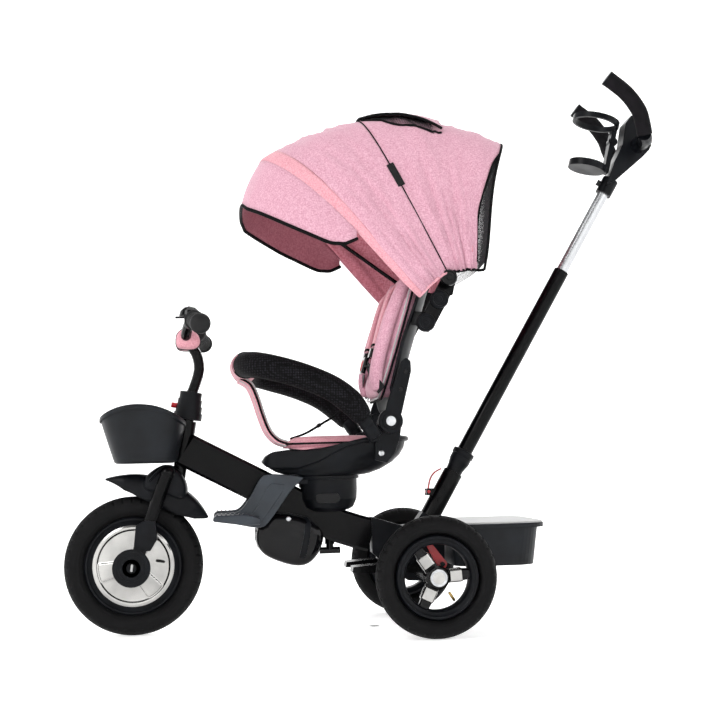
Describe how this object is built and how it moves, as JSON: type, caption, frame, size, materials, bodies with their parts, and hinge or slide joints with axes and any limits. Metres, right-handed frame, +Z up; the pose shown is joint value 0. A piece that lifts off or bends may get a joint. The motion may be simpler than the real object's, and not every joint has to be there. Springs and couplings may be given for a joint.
{
  "type": "children's tricycle",
  "caption": "Push-along children's tricycle with a swivelling reclining seat, folding canopy, bumper bar, telescopic parent handle and rear tub.",
  "frame": {"origin": "on the floor under the middle of the tricycle's box", "axes": "+X to the rear, +Y to the rider's right, +Z up"},
  "size_m": [1.1694, 0.476, 1.0595],
  "materials": {
    "tyre_rubber": "matt moulded rubber",
    "black_plastic": "satin moulded",
    "chrome_disc": "bright plated",
    "bearing_steel": "turned",
    "zinc_steel": "zinc plated",
    "black_steel": "gloss powder coat",
    "satin_steel": "satin powder coat",
    "red_plastic": "gloss moulded",
    "grip_rubber": "ribbed",
    "pink_fabric": "melange woven polyester",
    "tub_plastic": "fine grained",
    "shell_plastic": "satin moulded",
    "gloss_plastic": "gloss moulded",
    "brushed_tube": "anodised",
    "foam_grip": "closed cell foam",
    "lid_plastic": "translucent grey",
    "black_mesh": "spacer mesh",
    "black_webbing": "woven webbing"
  },
  "bodies": {
    "frame": {"main_frame": "black_steel", "head_bushes": "bearing_steel", "rear_bracket": "satin_steel", "axle_housing": "black_steel", "rear_axle": "zinc_steel", "turret_base": "shell_plastic", "pedal_holder": "gloss_plastic", "pedals": "gloss_plastic", "pole_socket": "black_steel", "rear_tub": "tub_plastic", "front_basket": "tub_plastic"},
    "steering": {"fork": "black_steel", "front_axle": "zinc_steel", "hub_covers": "black_plastic", "mudguard": "black_plastic", "steering_collar": "black_plastic", "handlebar": "black_steel", "grips": "grip_rubber", "bell": "chrome_disc", "bar_pouch": "pink_fabric"},
    "front_wheel": {"front_tyre": "tyre_rubber", "front_rim": "black_plastic", "front_wheel_discs": "chrome_disc", "front_bearings": "bearing_steel"},
    "bell_lever": {"bell_lever": "black_plastic"},
    "lock_button": {"lock_button": "red_plastic"},
    "rear_wheel_left": {"rear_tyre_left": "tyre_rubber", "rear_rim_left": "black_plastic"},
    "rear_wheel_right": {"rear_tyre_right": "tyre_rubber", "rear_rim_right": "black_plastic"},
    "brake_left": {"brake_lever_left": "red_plastic"},
    "brake_right": {"brake_lever_right": "red_plastic"},
    "swivel_button": {"swivel_button": "shell_plastic"},
    "footrest": {"footrest": "shell_plastic"},
    "clamp_knob": {"clamp_knob": "black_plastic"},
    "release_lever": {"release_lever": "red_plastic"},
    "push_pole": {"pole_collar": "black_plastic", "outer_pole": "black_steel"},
    "upper_pole": {"inner_pole": "brushed_tube", "pole_yoke": "black_plastic", "handle_grips": "foam_grip"},
    "height_button": {"height_button": "black_plastic"},
    "cup_holder": {"cup_holder": "black_plastic"},
    "tub_lid": {"tub_lid": "lid_plastic"},
    "seat": {"swivel_plate": "shell_plastic", "seat_shell": "shell_plastic", "seat_pad": "pink_fabric", "recline_bolts": "zinc_steel"},
    "bumper": {"bumper_bar": "black_steel", "bumper_foam": "black_mesh", "crotch_panel": "pink_fabric"},
    "backrest": {"backrest_shell": "shell_plastic", "back_pad": "pink_fabric", "harness": "black_webbing", "canopy_rear_bow": "black_plastic", "canopy_rear_fabric": "pink_fabric"},
    "mid_bow": {"canopy_mid_bow": "black_steel", "canopy_front_fabric": "pink_fabric"},
    "front_bow": {"canopy_front_bow": "black_steel", "canopy_visor": "pink_fabric"}
  },
  "joints": [
    {"name": "steering_turn", "type": "hinge", "parent": "frame", "child": "steering", "pos_m": [-0.3667, 0, 0.308], "axis": [0.1564, 0, 0.9877], "range_deg": [-24, 24]},
    {"name": "front_wheel_spin", "type": "hinge", "parent": "steering", "child": "front_wheel", "pos_m": [-0.4547, 0, 0.13], "axis": [0, 1, 0], "continuous": true},
    {"name": "bell_thumb", "type": "hinge", "parent": "steering", "child": "bell_lever", "pos_m": [-0.3427, -0.062, 0.592], "axis": [0, 0, 1], "range_deg": [-30, 0], "stiffness_Nm_per_rad": 0.02},
    {"name": "lock_press", "type": "slide", "parent": "steering", "child": "lock_button", "axis": [0.9877, 0, -0.1564], "range_m": [0, 0.003], "stiffness_N_per_m": 300},
    {"name": "rear_left_spin", "type": "hinge", "parent": "frame", "child": "rear_wheel_left", "pos_m": [0.0883, -0.209, 0.1085], "axis": [0, 1, 0], "continuous": true},
    {"name": "rear_right_spin", "type": "hinge", "parent": "frame", "child": "rear_wheel_right", "pos_m": [0.0883, 0.209, 0.1085], "axis": [0, 1, 0], "continuous": true},
    {"name": "brake_left_step", "type": "hinge", "parent": "frame", "child": "brake_left", "pos_m": [0.1053, -0.169, 0.128], "axis": [0, -1, 0], "range_deg": [0, 15]},
    {"name": "brake_right_step", "type": "hinge", "parent": "frame", "child": "brake_right", "pos_m": [0.1053, 0.169, 0.128], "axis": [0, -1, 0], "range_deg": [0, 15]},
    {"name": "swivel_press", "type": "slide", "parent": "frame", "child": "swivel_button", "axis": [0, 1, 0], "range_m": [0, 0.003], "stiffness_N_per_m": 300},
    {"name": "footrest_fold", "type": "hinge", "parent": "frame", "child": "footrest", "pos_m": [-0.1547, 0, 0.287], "axis": [0, 1, 0], "range_deg": [-50, 0]},
    {"name": "clamp_turn", "type": "hinge", "parent": "frame", "child": "clamp_knob", "pos_m": [-0.0827, 0, 0.148], "axis": [0, 0, 1], "range_deg": [-90, 90]},
    {"name": "pole_release", "type": "hinge", "parent": "frame", "child": "release_lever", "pos_m": [0.1118, 0, 0.2542], "axis": [0, -1, 0], "range_deg": [0, 25], "stiffness_Nm_per_rad": 0.05},
    {"name": "pole_turn", "type": "hinge", "parent": "frame", "child": "push_pole", "pos_m": [0.1135, 0, 0.2067], "axis": [0.506, 0, 0.8625], "range_deg": [-24, 24]},
    {"name": "pole_slide", "type": "slide", "parent": "push_pole", "child": "upper_pole", "axis": [0.506, 0, 0.8625], "range_m": [-0.15, 0]},
    {"name": "height_press", "type": "slide", "parent": "upper_pole", "child": "height_button", "axis": [0.8625, 0, -0.506], "range_m": [0, 0.003], "stiffness_N_per_m": 300},
    {"name": "cup_tilt", "type": "hinge", "parent": "upper_pole", "child": "cup_holder", "pos_m": [0.5093, 0, 0.948], "axis": [0, 1, 0], "range_deg": [0, 10]},
    {"name": "tub_lid_open", "type": "hinge", "parent": "frame", "child": "tub_lid", "pos_m": [0.1373, 0, 0.198], "axis": [0, -1, 0], "range_deg": [0, 40]},
    {"name": "seat_swivel", "type": "hinge", "parent": "frame", "child": "seat", "pos_m": [-0.0837, 0, 0.284], "axis": [0, 0, 1], "range_deg": [-90, 90]},
    {"name": "bumper_pull", "type": "slide", "parent": "seat", "child": "bumper", "axis": [-0.5239, 0, 0.8518], "range_m": [0, 0.04], "deforming": ["crotch_panel"]},
    {"name": "backrest_recline", "type": "hinge", "parent": "seat", "child": "backrest", "pos_m": [0.0253, 0, 0.389], "axis": [0, 1, 0], "range_deg": [0, 19]},
    {"name": "canopy_fold", "type": "hinge", "parent": "backrest", "child": "mid_bow", "pos_m": [0.1353, 0, 0.65], "axis": [0, 1, 0], "range_deg": [0, 38], "deforming": ["canopy_rear_fabric"]},
    {"name": "canopy_front_fold", "type": "hinge", "parent": "mid_bow", "child": "front_bow", "pos_m": [0.1353, 0, 0.65], "axis": [0, 1, 0], "range_deg": [0, 22.8], "deforming": ["canopy_front_fabric"]}
  ],
  "couplings": [
    {"joint": "pole_turn", "follows": "steering_turn", "ratio": 1},
    {"joint": "canopy_front_fold", "follows": "canopy_fold", "ratio": 0.6}
  ]
}
